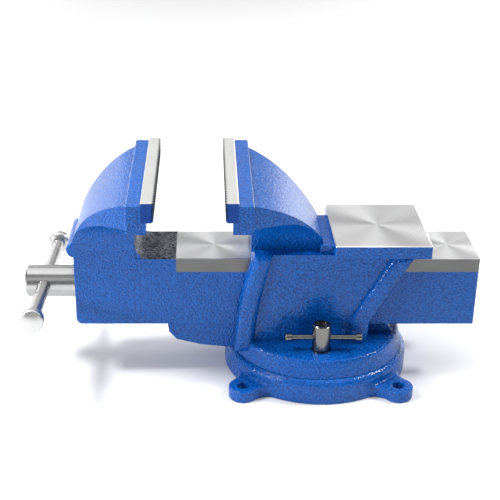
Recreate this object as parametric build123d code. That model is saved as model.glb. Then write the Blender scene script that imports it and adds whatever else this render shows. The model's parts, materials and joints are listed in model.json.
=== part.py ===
from build123d import *
import math
import os

# Bench vise with a swivel base, 150 mm jaws. Millimetres, +Z up, +X towards the anvil.
# The origin is on the swivel axis, at the underside of the base.
os.makedirs("parts", exist_ok=True)

# ---------------------------------------------------------------- jaws
JAW_WIDTH = 150.0
JAW_TOP = 174.3
PLATE_HEIGHT = 15.8
PLATE_THICK = 10.1
MOVING_GRIP_X = -132.3
FIXED_GRIP_X = -78.9
STRIP_TOP = 172.0
STRIP_THICK = 11.8
JAW_UNDER = 149.0
LEDGE_STEP = 4.2
COVE_RADIUS = 38.7
SERRATION_PITCH = 5.0
SERRATION_DEPTH = 1.6
SERRATION_HALF = 1.8
STRIP_ROUND = 1.8
SECTION_FOOT = 40.0
PLATE_SCREW_Y = 45.0
PLATE_SCREW_R = 3.0
PLATE_SCREW_HEAD_R = 5.2
PLATE_SCREW_HEAD_LONG = 3.0
PLATE_SCREW_SINK = 2.2
PLATE_SCREW_LONG = 20.0
HEX_SOCKET_R = 2.0

# Moving jaw: the wing's outer curve in side view (X, Z) and in top view (X, Y), and its nose.
MOVING_CREST_Z = 169.1
MOVING_WING_MID = (-180.0, 155.1)
MOVING_WING_LOW = (-199.8, 124.1)
MOVING_ROOT_Z = 100.0
MOVING_PLAN_WIDE = (68.0, 67.0)
MOVING_PLAN_MID = (-172.0, 55.3)
MOVING_PLAN_LOW = (-188.0, 41.0)
MOVING_PLAN_END_X = -208.0
NOSE_X = -199.6
NOSE_Z = 113.6
NOSE_R = 6.5
NOSE_ROUND = 2.0

# Fixed jaw: the same two curves, and the step between the wing and the anvil.
FIXED_CREST_Z = 168.4
FIXED_WING_MID = (-25.0, 151.6)
FIXED_WING_LOW = (0.0, 123.9)
FIXED_WING_END_X = 2.0
FIXED_ROOT_X = -57.0
FIXED_ROOT_Z = 112.0
FIXED_NECK_HALF = 25.0
FIXED_PLAN_WIDE = (68.0, 66.0)
FIXED_PLAN_MID = (-28.0, 49.3)
FIXED_PLAN_LOW = (-6.0, 31.0)
FIXED_PLAN_END = (4.0, 25.0)
STEP_FRONT_X = -2.0
STEP_HALF = 31.5
STEP_TOP = 120.0

# ---------------------------------------------------------------- slide and channel
SLIDE_HALF = 27.3
SLIDE_BOTTOM = 46.9
SLIDE_TOP = 107.05
SLIDE_REAR_X = 127.7
JAW_FRONT_X = -200.4
CAVITY_HALF = 17.0
CAVITY_TOP = 92.0
FRONT_WALL = 12.0
SLIDE_GAP = 0.3
NECK_FRONT_X = -151.0
NECK_FILLET = 11.0
BEAM_NOSE_ROUND = 5.0
BEAM_EDGE = 0.7
CAVITY_ROUND = 4.0
CHANNEL_ENDS = (-160.0, 110.0)

# ---------------------------------------------------------------- fixed body
PANEL_HALF = 36.0
RIB_HALF = 41.0
FRONT_RIB_ROUND = 6.0
REAR_RIB_ROUND = 4.6
BODY_TOP = 114.0
BODY_FOOT = 23.0
CORE_FRONT = ((-67.5, 26.0), (-65.0, 67.0), (-53.5, 114.0))
CORE_REAR = ((73.0, 114.0), (39.5, 56.0), (37.0, 26.0))
FRONT_RIB_OUTER = ((-69.5, 27.0), (-66.4, 67.0), (-54.5, 114.0))
FRONT_RIB_INNER = ((-39.5, 114.0), (-49.6, 69.3), (-54.5, 27.0))
REAR_RIB = ((22.0, 30.0), (25.0, 58.0), (56.0, 114.0), (74.0, 114.0), (40.5, 56.0), (38.0, 30.0))
SCOOP_R = 45.0
SCOOP_DEEP = 4.0
SCOOP_TOP_Z = 42.0
ANVIL_FRONT_X = 8.7
ANVIL_REAR_X = 85.3
ANVIL_HALF = 43.1
ANVIL_TOP = 125.0
ANVIL_CORNER = 1.2
ANVIL_EDGE = 0.8
DISC_BOTTOM = 21.4
DISC_TOP = 36.2
DISC_LOWER_R = 72.65
DISC_UPPER_R = 69.6
DISC_ROUND = 2.5
TONGUE_HALF = 24.0
TONGUE_NOSE = ((-124.0, 38.0), (-117.7, 31.0), (-98.0, 26.0), (-70.0, 23.0))
TONGUE_FRONT_X = -125.4
TONGUE_REAR_X = -50.0
REAR_WEB_HALF = 20.0
REAR_WEB_FOOT = ((30.0, 34.0), (64.0, 34.0))
REAR_WEB_REAR_X = 56.0
REAR_WEB_FRONT = (30.0, 46.0)

# ---------------------------------------------------------------- swivel base
RING_R = 77.0
RING_ROUND = 6.0
RING_TOP = 21.3
LUG_TOP = 10.3
LUG_END_R = 12.0
LUG_CIRCLE_R = 89.05
LUG_HOLE_R = 5.0
SLOT_R = 51.0
SLOT_NECK_HALF = 5.5
SLOT_WIDE_HALF = 10.0
SLOT_ENTRY_R = 9.5
SLOT_FLOOR = 5.0
SLOT_CEILING = 12.0
LUG_BLEND = 12.0
PIVOT_R = 6.0
PIVOT_HEAD_R = 12.0
PIVOT_HEAD_BOTTOM = 2.0
PIVOT_HEAD_TOP = 9.0
PIVOT_TOP = 46.0
PIVOT_RECESS_R = 13.0
PIVOT_SEAT = 38.0
PIVOT_POCKET_R = 15.0
PIVOT_WASHER_THICK = 1.5
PIVOT_NUT_R = 10.0
PIVOT_NUT_TALL = 6.4

# ---------------------------------------------------------------- screw and handle
SCREW_Z = 73.5
HEAD_R = 13.5
HEAD_FRONT_X = -243.5
JOURNAL_R = 11.0
THREAD_R = 10.0
THREAD_REAR_X = 35.0
RUNNING_FIT = 0.08
HEAD_EDGE = 1.6
THREAD_EDGE = 1.5
HANDLE_X = -228.0
HANDLE_R = 5.4
HANDLE_TILT = 4.0
HANDLE_NEAR = -84.5
HANDLE_FAR = 99.0
HANDLE_CAP_R = 9.5
HANDLE_CAP_LONG = 9.5
HANDLE_CAP_ROUND = 1.8
WASHER_FACE = 3.2
COLLAR_START = 13.0
COLLAR_LONG = 7.0
COLLAR_R = 15.0
COLLAR_PIN_R = 2.0
COLLAR_PIN_HALF = 14.5
THRUST_WASHER_R = 14.5
SPRING_PITCH = 3.7
SPRING_LONG = 7.4
SPRING_R = 12.2
SPRING_WIRE_R = 1.1
SPRING_START = 1.2
NUT_FRONT_X = -112.0
NUT_REAR_X = -76.0
NUT_BOLT_X = (-102.0, -86.0)
NUT_BOLT_SEAT = 36.0
NUT_BOLT_R = 3.0
NUT_BOLT_HEAD_R = 5.0
NUT_BOLT_BORE_R = 5.5
NUT_BOLT_HEAD_TALL = 6.0
NUT_BOLT_TOP = 58.0
NUT_HALF = 15.0
NUT_TOP = 89.0
NUT_ROUND = 5.0

# ---------------------------------------------------------------- swivel lock
STUD_R = 5.0
STUD_TOP = 45.0
LOCK_NUT_R = 7.5
LOCK_NUT_TOP = 60.2
WASHER_R = 7.8
WASHER_THICK = 1.6
LOCK_BAR_Z = 48.0
LOCK_BAR_R = 2.15
LOCK_BAR_HALF = 31.5
LOCK_BAR_SHIFT = 1.6
LOCK_CAP_R = 3.25
LOCK_CAP_LONG = 6.0
LOCK_CAP_ROUND = 0.8
LOCK_NUT_EDGE = 0.7
STUD_HEAD_R = 9.0
STUD_HEAD_GAP = 0.2

INNER_WALL_X = JAW_FRONT_X + FRONT_WALL
COLLAR_X = INNER_WALL_X + COLLAR_START
PLATE_BOTTOM = JAW_TOP - PLATE_HEIGHT
PLATE_MID_Z = JAW_TOP - PLATE_HEIGHT / 2


def span_box(low, high):
    """Box between two opposite corners."""
    size = [b - a for a, b in zip(low, high)]
    middle = [(a + b) / 2 for a, b in zip(low, high)]
    return Pos(*middle) * Box(*size)


def side_solid(edges, half_width):
    """Closed outline drawn in X and Z, thickened both ways along Y."""
    return extrude(Plane.XZ * make_face(edges), amount=half_width, both=True)


def end_solid(edges, start_x, end_x):
    """Closed outline drawn in Y and Z, carried along X."""
    face = Plane.YZ * make_face(edges)
    return Pos(start_x, 0, 0) * extrude(face, amount=end_x - start_x)


def rod_x(radius, start_x, end_x, y=0.0, z=0.0):
    """Round bar along X."""
    length = end_x - start_x
    return Pos((start_x + end_x) / 2, y, z) * Rot(0, 90, 0) * Cylinder(radius, length)


def rod_z(radius, bottom, top, x=0.0, y=0.0):
    """Round bar along Z."""
    return Pos(x, y, (bottom + top) / 2) * Cylinder(radius, top - bottom)


def rounded_sides(solid, radius):
    """Rounds the outlines of the two faces that look along Y."""
    faces = solid.faces().sort_by(Axis.Y)
    return fillet(faces[0].edges() + faces[-1].edges(), radius)


def write(node, solid):
    """Saves one node."""
    export_step(solid, "parts/" + node + ".step")


# ---------------------------------------------------------------- jaw castings
def wing_section(neck_half, start_x, end_x):
    """Front view of a jaw: a neck that flares by a concave cove to the full width."""
    cove_y = neck_half + COVE_RADIUS
    cove_z = JAW_UNDER - COVE_RADIUS
    middle = COVE_RADIUS / math.sqrt(2)
    half = [
        Line((0, SECTION_FOOT), (neck_half, SECTION_FOOT)),
        Line((neck_half, SECTION_FOOT), (neck_half, cove_z)),
        ThreePointArc((neck_half, cove_z), (cove_y - middle, cove_z + middle), (cove_y, JAW_UNDER)),
        Line((cove_y, JAW_UNDER), (JAW_WIDTH / 2, JAW_UNDER)),
        Line((JAW_WIDTH / 2, JAW_UNDER), (JAW_WIDTH / 2, STRIP_TOP)),
        Line((JAW_WIDTH / 2, STRIP_TOP), (0, STRIP_TOP)),
        Line((0, STRIP_TOP), (0, SECTION_FOOT)),
    ]
    right = end_solid(half, start_x, end_x)
    return right + mirror(right, about=Plane.XZ)


def plan_section(edges):
    """Top view of one half of a jaw, mirrored to the other half."""
    half = extrude(make_face(edges), amount=JAW_TOP + SECTION_FOOT)
    return half + mirror(half, about=Plane.XZ)


def jaw_rim(grip_x, away):
    """Strip behind the plate and the ledge that the plate stands on. away points off the plate."""
    back_of_plate = grip_x + away * PLATE_THICK
    back_of_strip = back_of_plate + away * STRIP_THICK
    step = back_of_plate - away * LEDGE_STEP
    low_x, high_x = sorted((back_of_plate, back_of_strip))
    strip = span_box((low_x, -JAW_WIDTH / 2, JAW_UNDER), (high_x, JAW_WIDTH / 2, STRIP_TOP))
    back_face = strip.faces().sort_by(Axis.X)[0 if away < 0 else -1]
    strip = fillet(back_face.edges(), STRIP_ROUND)
    low_x, high_x = sorted((step, back_of_plate + away * STRIP_THICK / 2))
    ledge = span_box((low_x, -JAW_WIDTH / 2, JAW_UNDER), (high_x, JAW_WIDTH / 2, PLATE_BOTTOM))
    return strip + ledge


def plate_screw(grip_x, away, y):
    """Countersunk screw that holds a jaw plate from its gripping face."""
    head_x = grip_x + away * PLATE_SCREW_SINK
    shank = rod_x(PLATE_SCREW_R, *sorted((head_x, head_x + away * PLATE_SCREW_LONG)), y, PLATE_MID_Z)
    cone = Cone(PLATE_SCREW_HEAD_R, PLATE_SCREW_R, PLATE_SCREW_HEAD_LONG)
    middle = Pos(head_x + away * PLATE_SCREW_HEAD_LONG / 2, y, PLATE_MID_Z)
    cone = middle * Rot(0, away * 90, 0) * cone
    socket_start, socket_end = sorted((head_x - away * 0.1, head_x + away * PLATE_SCREW_SINK))
    socket = extrude(Plane.YZ * RegularPolygon(HEX_SOCKET_R, 6), amount=socket_end - socket_start)
    return shank + cone - Pos(socket_start, y, PLATE_MID_Z) * socket


def screw_pair(grip_x, away):
    """Two screws, one towards each end of a plate."""
    return [plate_screw(grip_x, away, y) for y in (-PLATE_SCREW_Y, PLATE_SCREW_Y)]


def jaw_plate(grip_x, away):
    """Hardened plate with upright V serrations on its gripping face and two countersunk holes."""
    low_x, high_x = sorted((grip_x, grip_x + away * PLATE_THICK))
    plate = span_box((low_x, -JAW_WIDTH / 2, PLATE_BOTTOM), (high_x, JAW_WIDTH / 2, JAW_TOP))
    notch_edges = Polyline(
        (grip_x - away * 0.2, -SERRATION_HALF),
        (grip_x + away * SERRATION_DEPTH, 0),
        (grip_x - away * 0.2, SERRATION_HALF),
        close=True,
    )
    notch = extrude(make_face(notch_edges), amount=PLATE_HEIGHT + 2)
    count = round(JAW_WIDTH / SERRATION_PITCH)
    notches = []
    for index in range(count):
        y = (index + 0.5) * SERRATION_PITCH - JAW_WIDTH / 2
        notches.append(Pos(0, y, PLATE_BOTTOM - 1) * notch)
    plate = plate - notches
    head_x = grip_x + away * PLATE_SCREW_SINK
    for y in (-PLATE_SCREW_Y, PLATE_SCREW_Y):
        mouth = rod_x(PLATE_SCREW_HEAD_R, *sorted((grip_x - away, head_x)), y, PLATE_MID_Z)
        hole = rod_x(PLATE_SCREW_R, low_x, high_x, y, PLATE_MID_Z)
        plate = plate - mouth - plate_screw(grip_x, away, y) - hole
    return plate


def drill_for_screws(casting, grip_x, away):
    """Blind holes for the plate screws."""
    start = grip_x + away * PLATE_THICK
    end = grip_x + away * (PLATE_SCREW_SINK + PLATE_SCREW_LONG)
    for y in (-PLATE_SCREW_Y, PLATE_SCREW_Y):
        casting = casting - rod_x(PLATE_SCREW_R, *sorted((start, end)), y, PLATE_MID_Z)
    return casting


def moving_casting():
    """Moving jaw, its rolled nose, neck and the hollow slide beam, in one casting."""
    grip_back = MOVING_GRIP_X - PLATE_THICK
    strip_back = grip_back - STRIP_THICK
    horn_side = [
        Line((NECK_FRONT_X, MOVING_ROOT_Z), (NECK_FRONT_X, JAW_UNDER)),
        Line((NECK_FRONT_X, JAW_UNDER), (grip_back, JAW_UNDER)),
        Line((grip_back, JAW_UNDER), (grip_back, MOVING_CREST_Z)),
        Line((grip_back, MOVING_CREST_Z), (strip_back, MOVING_CREST_Z)),
        ThreePointArc((strip_back, MOVING_CREST_Z), MOVING_WING_MID, MOVING_WING_LOW),
        Line(MOVING_WING_LOW, (JAW_FRONT_X, MOVING_ROOT_Z)),
        Line((JAW_FRONT_X, MOVING_ROOT_Z), (NECK_FRONT_X, MOVING_ROOT_Z)),
    ]
    at_plate, at_strip = MOVING_PLAN_WIDE
    plan = [
        Line((grip_back, 0), (grip_back, at_plate)),
        Line((grip_back, at_plate), (strip_back, at_strip)),
        ThreePointArc((strip_back, at_strip), MOVING_PLAN_MID, MOVING_PLAN_LOW),
        Line(MOVING_PLAN_LOW, (MOVING_PLAN_END_X, SLIDE_HALF)),
        Line((MOVING_PLAN_END_X, SLIDE_HALF), (MOVING_PLAN_END_X, 0)),
        Line((MOVING_PLAN_END_X, 0), (grip_back, 0)),
    ]
    section = wing_section(SLIDE_HALF, MOVING_PLAN_END_X - 2, grip_back + 2)
    horn = side_solid(horn_side, JAW_WIDTH / 2) & section
    horn = horn & plan_section(plan)
    nose = Pos(NOSE_X, 0, NOSE_Z) * Rot(90, 0, 0) * Cylinder(NOSE_R, 2 * SLIDE_HALF)
    nose = fillet(nose.edges(), NOSE_ROUND)
    beam = span_box((JAW_FRONT_X, -SLIDE_HALF, SLIDE_BOTTOM), (SLIDE_REAR_X, SLIDE_HALF, SLIDE_TOP))
    front_bottom = beam.faces().sort_by(Axis.X)[0].edges().sort_by(Axis.Z)[0]
    beam = fillet(front_bottom, BEAM_NOSE_ROUND)
    beam = chamfer(beam.edges().filter_by(Axis.X), BEAM_EDGE)
    rear_edges = beam.faces().sort_by(Axis.X)[-1].edges()
    beam = chamfer(rear_edges, BEAM_EDGE)
    root_edges = [
        Line((NECK_FRONT_X - 1, SLIDE_TOP - 1), (NECK_FRONT_X - 1, SLIDE_TOP + NECK_FILLET)),
        Line((NECK_FRONT_X - 1, SLIDE_TOP + NECK_FILLET), (NECK_FRONT_X, SLIDE_TOP + NECK_FILLET)),
        RadiusArc(
            (NECK_FRONT_X, SLIDE_TOP + NECK_FILLET),
            (NECK_FRONT_X + NECK_FILLET, SLIDE_TOP),
            -NECK_FILLET,
        ),
        Line((NECK_FRONT_X + NECK_FILLET, SLIDE_TOP), (NECK_FRONT_X + NECK_FILLET, SLIDE_TOP - 1)),
        Line((NECK_FRONT_X + NECK_FILLET, SLIDE_TOP - 1), (NECK_FRONT_X - 1, SLIDE_TOP - 1)),
    ]
    root = side_solid(root_edges, SLIDE_HALF - BEAM_EDGE)
    casting = beam + horn + nose + root + jaw_rim(MOVING_GRIP_X, -1)
    cavity = span_box(
        (INNER_WALL_X, -CAVITY_HALF, SLIDE_BOTTOM - 1), (SLIDE_REAR_X + 1, CAVITY_HALF, CAVITY_TOP)
    )
    cavity = fillet(cavity.edges().filter_by(Axis.X).group_by(Axis.Z)[-1], CAVITY_ROUND)
    journal = rod_x(JOURNAL_R + RUNNING_FIT, JAW_FRONT_X - 10, INNER_WALL_X + 1, 0, SCREW_Z)
    return drill_for_screws(casting - cavity - journal, MOVING_GRIP_X, -1)


# ---------------------------------------------------------------- fixed body
def front_rib():
    """Bowed rib at the mouth of the channel."""
    edges = [
        ThreePointArc(*FRONT_RIB_OUTER),
        Line(FRONT_RIB_OUTER[-1], FRONT_RIB_INNER[0]),
        ThreePointArc(*FRONT_RIB_INNER),
        Line(FRONT_RIB_INNER[-1], FRONT_RIB_OUTER[0]),
    ]
    return rounded_sides(side_solid(edges, RIB_HALF), FRONT_RIB_ROUND)


def rear_rib():
    """Raked rib under the anvil."""
    edges = Polyline(*REAR_RIB, close=True)
    return rounded_sides(side_solid(edges, RIB_HALF), REAR_RIB_ROUND)


def side_scoop(side):
    """Shallow rounded hollow in a panel, which gives the lock nut room to turn."""
    y = side * (PANEL_HALF + SCOOP_R - SCOOP_DEEP)
    return rod_z(SCOOP_R, 0, SCOOP_TOP_Z, 0, y) + Pos(0, y, SCOOP_TOP_Z) * Sphere(SCOOP_R)


def fixed_casting():
    """Swivel disc, channel, jaw, anvil and tongue, in one casting."""
    disc = Pos(0, 0, (DISC_BOTTOM + DISC_TOP) / 2) * Cone(DISC_LOWER_R, DISC_UPPER_R, DISC_TOP - DISC_BOTTOM)
    disc = fillet(disc.edges().sort_by(Axis.Z)[-1], DISC_ROUND)
    core_edges = [
        ThreePointArc(*CORE_FRONT),
        Line(CORE_FRONT[-1], CORE_REAR[0]),
        Line(CORE_REAR[0], CORE_REAR[1]),
        Line(CORE_REAR[1], CORE_REAR[2]),
        Line(CORE_REAR[2], CORE_FRONT[0]),
    ]
    core = side_solid(core_edges, PANEL_HALF) - side_scoop(-1) - side_scoop(1)
    anvil = span_box((ANVIL_FRONT_X, -ANVIL_HALF, BODY_TOP), (ANVIL_REAR_X, ANVIL_HALF, ANVIL_TOP))
    anvil = fillet(anvil.edges().filter_by(Axis.Z), ANVIL_CORNER)
    anvil = chamfer(anvil.faces().sort_by(Axis.Z)[-1].edges(), ANVIL_EDGE)
    grip_back = FIXED_GRIP_X + PLATE_THICK
    strip_back = grip_back + STRIP_THICK
    horn_side = [
        Line((FIXED_ROOT_X, FIXED_ROOT_Z), (FIXED_ROOT_X, JAW_UNDER)),
        Line((FIXED_ROOT_X, JAW_UNDER), (grip_back, JAW_UNDER)),
        Line((grip_back, JAW_UNDER), (grip_back, FIXED_CREST_Z)),
        Line((grip_back, FIXED_CREST_Z), (strip_back, FIXED_CREST_Z)),
        ThreePointArc((strip_back, FIXED_CREST_Z), FIXED_WING_MID, FIXED_WING_LOW),
        Line(FIXED_WING_LOW, (FIXED_WING_END_X, FIXED_ROOT_Z)),
        Line((FIXED_WING_END_X, FIXED_ROOT_Z), (FIXED_ROOT_X, FIXED_ROOT_Z)),
    ]
    at_plate, at_strip = FIXED_PLAN_WIDE
    plan_end_x = FIXED_PLAN_END[0]
    plan = [
        Line((grip_back, 0), (grip_back, at_plate)),
        Line((grip_back, at_plate), (strip_back, at_strip)),
        ThreePointArc((strip_back, at_strip), FIXED_PLAN_MID, FIXED_PLAN_LOW),
        Line(FIXED_PLAN_LOW, FIXED_PLAN_END),
        Line(FIXED_PLAN_END, (plan_end_x, 0)),
        Line((plan_end_x, 0), (grip_back, 0)),
    ]
    section = wing_section(FIXED_NECK_HALF, grip_back - 2, plan_end_x + 2)
    horn = side_solid(horn_side, JAW_WIDTH / 2) & section
    horn = horn & plan_section(plan)
    step = span_box((STEP_FRONT_X, -STEP_HALF, BODY_TOP), (ANVIL_FRONT_X + 1, STEP_HALF, STEP_TOP))
    floor_z = SLIDE_BOTTOM - SLIDE_GAP
    tongue_edges = Polyline(
        (TONGUE_FRONT_X, floor_z),
        *TONGUE_NOSE,
        (TONGUE_REAR_X, BODY_FOOT),
        (TONGUE_REAR_X, floor_z),
        close=True,
    )
    tongue = side_solid(tongue_edges, TONGUE_HALF)
    rear_web_edges = Polyline(*REAR_WEB_FOOT, (REAR_WEB_REAR_X, floor_z), REAR_WEB_FRONT, close=True)
    rear_web = side_solid(rear_web_edges, REAR_WEB_HALF)
    body = core + front_rib() + rear_rib()
    body = body + disc + anvil + horn + jaw_rim(FIXED_GRIP_X, 1) + step + tongue + rear_web
    channel_front, channel_rear = CHANNEL_ENDS
    channel = span_box(
        (channel_front, -SLIDE_HALF - SLIDE_GAP, floor_z),
        (channel_rear, SLIDE_HALF + SLIDE_GAP, SLIDE_TOP + SLIDE_GAP),
    )
    body = body - channel - rod_z(PIVOT_R, 0, 60) - rod_z(PIVOT_POCKET_R, PIVOT_SEAT, 50)
    for side in (-1, 1):
        body = body - rod_z(STUD_R, 0, DISC_TOP + 1, 0, side * SLOT_R)
    for x in NUT_BOLT_X:
        body = body - rod_z(NUT_BOLT_R, 20, 50, x) - rod_z(NUT_BOLT_BORE_R, 20, NUT_BOLT_SEAT, x)
    return drill_for_screws(body, FIXED_GRIP_X, 1)


# ---------------------------------------------------------------- base
def swivel_base():
    """Round base with four lugs, a circular T-slot for the lock bolts and a pivot bore."""
    outline = Circle(RING_R)
    for quarter in range(4):
        lug = Pos(LUG_CIRCLE_R / 2, 0) * Rectangle(LUG_CIRCLE_R, 2 * LUG_END_R)
        lug = lug + Pos(LUG_CIRCLE_R, 0) * Circle(LUG_END_R)
        outline = outline + Rot(0, 0, 45 + 90 * quarter) * lug
    corners = [v for v in outline.vertices() if abs(math.hypot(v.X, v.Y) - RING_R) < 0.5]
    outline = fillet(corners, LUG_BLEND)
    foot = extrude(outline, amount=LUG_TOP)
    ring = rod_z(RING_R, 0, RING_TOP)
    ring = fillet(ring.edges().sort_by(Axis.Z)[-1], RING_ROUND)
    base = foot + ring
    for quarter in range(4):
        angle = math.radians(45 + 90 * quarter)
        x = LUG_CIRCLE_R * math.cos(angle)
        y = LUG_CIRCLE_R * math.sin(angle)
        base = base - rod_z(LUG_HOLE_R, -1, LUG_TOP + 1, x, y)
    wide = rod_z(SLOT_R + SLOT_WIDE_HALF, SLOT_FLOOR, SLOT_CEILING)
    wide = wide - rod_z(SLOT_R - SLOT_WIDE_HALF, SLOT_FLOOR - 1, SLOT_CEILING + 1)
    neck = rod_z(SLOT_R + SLOT_NECK_HALF, SLOT_FLOOR, RING_TOP + 1)
    neck = neck - rod_z(SLOT_R - SLOT_NECK_HALF, SLOT_FLOOR - 1, RING_TOP + 2)
    entry = rod_z(SLOT_ENTRY_R, SLOT_FLOOR, RING_TOP + 1, SLOT_R, 0)
    base = base - wide - neck - entry
    base = base - rod_z(PIVOT_R + RUNNING_FIT, -1, RING_TOP + 1)
    return base - rod_z(PIVOT_RECESS_R, -1, PIVOT_HEAD_TOP)


# ---------------------------------------------------------------- screw and handle
def lead_screw():
    """Polished head, journal through the jaw wall and the threaded length."""
    head = rod_x(HEAD_R, HEAD_FRONT_X, JAW_FRONT_X - 0.1, 0, SCREW_Z)
    head = chamfer(head.edges().sort_by(Axis.X)[0], HEAD_EDGE)
    journal = rod_x(JOURNAL_R, JAW_FRONT_X - 1, INNER_WALL_X + 0.1, 0, SCREW_Z)
    thread = rod_x(THREAD_R, INNER_WALL_X, THREAD_REAR_X, 0, SCREW_Z)
    thread = chamfer(thread.edges().sort_by(Axis.X)[-1], THREAD_EDGE)
    hole = Cylinder(HANDLE_R + RUNNING_FIT, 4 * HEAD_R)
    hole = Pos(HANDLE_X, 0, SCREW_Z) * Rot(90 - HANDLE_TILT, 0, 0) * hole
    return head + journal + thread - hole - collar_pin()


def collar_pin():
    """Pin through the retaining collar and the screw."""
    low, high = SCREW_Z - COLLAR_PIN_HALF, SCREW_Z + COLLAR_PIN_HALF
    return rod_z(COLLAR_PIN_R, low, high, COLLAR_X + COLLAR_LONG / 2)


def tube_x(outer, inner, start_x, end_x):
    """Ring or collar on the screw axis."""
    ring = rod_x(outer, start_x, end_x, 0, SCREW_Z)
    return ring - rod_x(inner, start_x - 1, end_x + 1, 0, SCREW_Z)


def thrust_spring():
    """Coil that keeps the screw head against the jaw."""
    helix = Helix(pitch=SPRING_PITCH, height=SPRING_LONG, radius=SPRING_R)
    wire = sweep(Plane(helix @ 0, z_dir=helix % 0) * Circle(SPRING_WIRE_R), path=helix)
    return Pos(INNER_WALL_X + WASHER_FACE + SPRING_START, 0, SCREW_Z) * Rot(0, 90, 0) * wire


def lead_nut():
    """Block that stands on the channel floor and takes the screw's thread."""
    block = span_box((NUT_FRONT_X, -NUT_HALF, SLIDE_BOTTOM - SLIDE_GAP), (NUT_REAR_X, NUT_HALF, NUT_TOP))
    block = fillet(block.edges().filter_by(Axis.X).group_by(Axis.Z)[-1], NUT_ROUND)
    block = block - rod_x(THREAD_R + RUNNING_FIT, NUT_FRONT_X - 1, NUT_REAR_X + 1, 0, SCREW_Z)
    for x in NUT_BOLT_X:
        block = block - rod_z(NUT_BOLT_R, NUT_BOLT_SEAT, NUT_BOLT_TOP, x)
    return block


def nut_bolt(x):
    """Cap screw from under the tongue into the lead nut."""
    shank = rod_z(NUT_BOLT_R, NUT_BOLT_SEAT, NUT_BOLT_TOP, x)
    return shank + rod_z(NUT_BOLT_HEAD_R, NUT_BOLT_SEAT - NUT_BOLT_HEAD_TALL, NUT_BOLT_SEAT, x)


def along_handle(start, end, radius):
    """Round bar on the handle's own axis, which leans with the screw."""
    bar = Pos(0, 0, (start + end) / 2) * Cylinder(radius, end - start)
    return Pos(HANDLE_X, 0, SCREW_Z) * Rot(-90 - HANDLE_TILT, 0, 0) * bar


def handle_cap(start, end):
    """Round end cap with softened rims."""
    return fillet(along_handle(start, end, HANDLE_CAP_R).edges(), HANDLE_CAP_ROUND)


# ---------------------------------------------------------------- swivel lock
def lock_stud(side):
    """T-bolt whose round head runs in the base's slot."""
    y = side * SLOT_R
    head = rod_z(STUD_HEAD_R, SLOT_FLOOR + STUD_HEAD_GAP, SLOT_CEILING - STUD_HEAD_GAP, 0, y)
    return head + rod_z(STUD_R, SLOT_CEILING - 1, STUD_TOP, 0, y)


def lock_nut(side):
    """Tall round nut, bored through, with a cross hole for its bar."""
    y = side * SLOT_R
    nut = rod_z(LOCK_NUT_R, DISC_TOP + WASHER_THICK + SLIDE_GAP / 3, LOCK_NUT_TOP, 0, y)
    nut = chamfer(nut.edges(), LOCK_NUT_EDGE)
    nut = nut - rod_z(STUD_R + RUNNING_FIT, DISC_TOP, LOCK_NUT_TOP + 1, 0, y)
    return nut - rod_x(LOCK_BAR_R + RUNNING_FIT, -LOCK_NUT_R - 1, LOCK_NUT_R + 1, y, LOCK_BAR_Z)


def lock_washer(side):
    """Washer under the lock nut."""
    y = side * SLOT_R
    hole = rod_z(STUD_R, DISC_TOP - 1, DISC_TOP + WASHER_THICK + 1, 0, y)
    return rod_z(WASHER_R, DISC_TOP, DISC_TOP + WASHER_THICK, 0, y) - hole


def lock_cap(side, end):
    """Small cap pressed on one end of a lock bar."""
    outer = LOCK_BAR_HALF
    inner = outer - LOCK_CAP_LONG
    start, stop = sorted((end * inner, end * outer))
    cap = rod_x(LOCK_CAP_R, start + LOCK_BAR_SHIFT, stop + LOCK_BAR_SHIFT, side * SLOT_R, LOCK_BAR_Z)
    return fillet(cap.edges(), LOCK_CAP_ROUND)


write("swivel_base", swivel_base())
write("fixed_jaw_body", fixed_casting())
write("moving_jaw_slide", moving_casting())
write("fixed_jaw_plate", jaw_plate(FIXED_GRIP_X, 1))
write("moving_jaw_plate", jaw_plate(MOVING_GRIP_X, -1))
write("fixed_plate_screws", Compound(children=screw_pair(FIXED_GRIP_X, 1)))
write("moving_plate_screws", Compound(children=screw_pair(MOVING_GRIP_X, -1)))

write("lead_screw", lead_screw())
write("thrust_washer", tube_x(THRUST_WASHER_R, THREAD_R, INNER_WALL_X + 0.2, INNER_WALL_X + WASHER_FACE))
write("thrust_spring", thrust_spring())
write("retaining_collar", tube_x(COLLAR_R, THREAD_R, COLLAR_X, COLLAR_X + COLLAR_LONG) - collar_pin())
write("collar_pin", collar_pin())
write("lead_nut", lead_nut())
write("lead_nut_bolts", Compound(children=[nut_bolt(x) for x in NUT_BOLT_X]))

write("handle_bar", along_handle(HANDLE_NEAR + HANDLE_CAP_LONG, HANDLE_FAR - HANDLE_CAP_LONG, HANDLE_R))
write("handle_cap_near", handle_cap(HANDLE_NEAR, HANDLE_NEAR + HANDLE_CAP_LONG))
write("handle_cap_far", handle_cap(HANDLE_FAR - HANDLE_CAP_LONG, HANDLE_FAR))

pivot_head = rod_z(PIVOT_HEAD_R, PIVOT_HEAD_BOTTOM, PIVOT_HEAD_TOP)
write("pivot_bolt", pivot_head + rod_z(PIVOT_R, PIVOT_HEAD_TOP - 1, PIVOT_TOP))
washer_top = PIVOT_SEAT + PIVOT_WASHER_THICK
pivot_hole = rod_z(PIVOT_R, PIVOT_SEAT - 1, PIVOT_TOP + 1)
write("pivot_washer", rod_z(PIVOT_RECESS_R, PIVOT_SEAT, washer_top) - pivot_hole)
pivot_nut = Pos(0, 0, washer_top) * extrude(RegularPolygon(PIVOT_NUT_R, 6), amount=PIVOT_NUT_TALL)
write("pivot_nut", pivot_nut - pivot_hole)

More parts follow.
